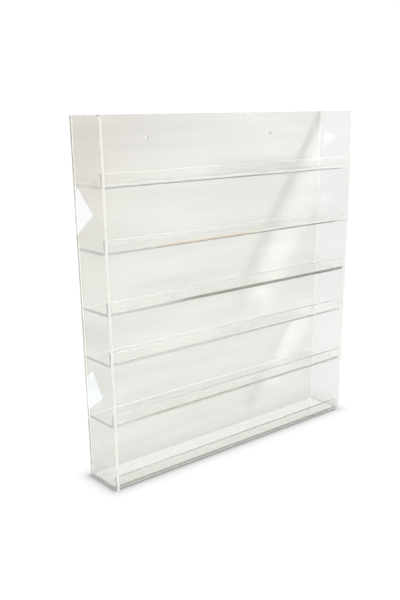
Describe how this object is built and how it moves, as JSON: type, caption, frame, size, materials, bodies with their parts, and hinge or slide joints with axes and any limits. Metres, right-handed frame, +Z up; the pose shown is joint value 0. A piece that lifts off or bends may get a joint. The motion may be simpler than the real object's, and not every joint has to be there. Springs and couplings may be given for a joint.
{
  "type": "wall display rack",
  "caption": "Clear acrylic wall rack: lipped shelves between two side panels, glued to a back panel with screw holes, for small upright items or leaflets.",
  "frame": {"origin": "middle of the footprint, at the level of the bottom edges", "axes": "+Z up, -Y to the open front, +Y to the wall, +X to the right as seen from the front"},
  "size_m": [0.38, 0.055, 0.405],
  "materials": {
    "clear_acrylic": "clear, polished"
  },
  "bodies": {
    "root": {"back_panel": "clear_acrylic", "left_side": "clear_acrylic", "right_side": "clear_acrylic", "shelf_1_bottom": "clear_acrylic", "shelf_2": "clear_acrylic", "shelf_3": "clear_acrylic", "shelf_4": "clear_acrylic", "shelf_5": "clear_acrylic", "shelf_6_top": "clear_acrylic"}
  },
  "joints": []
}
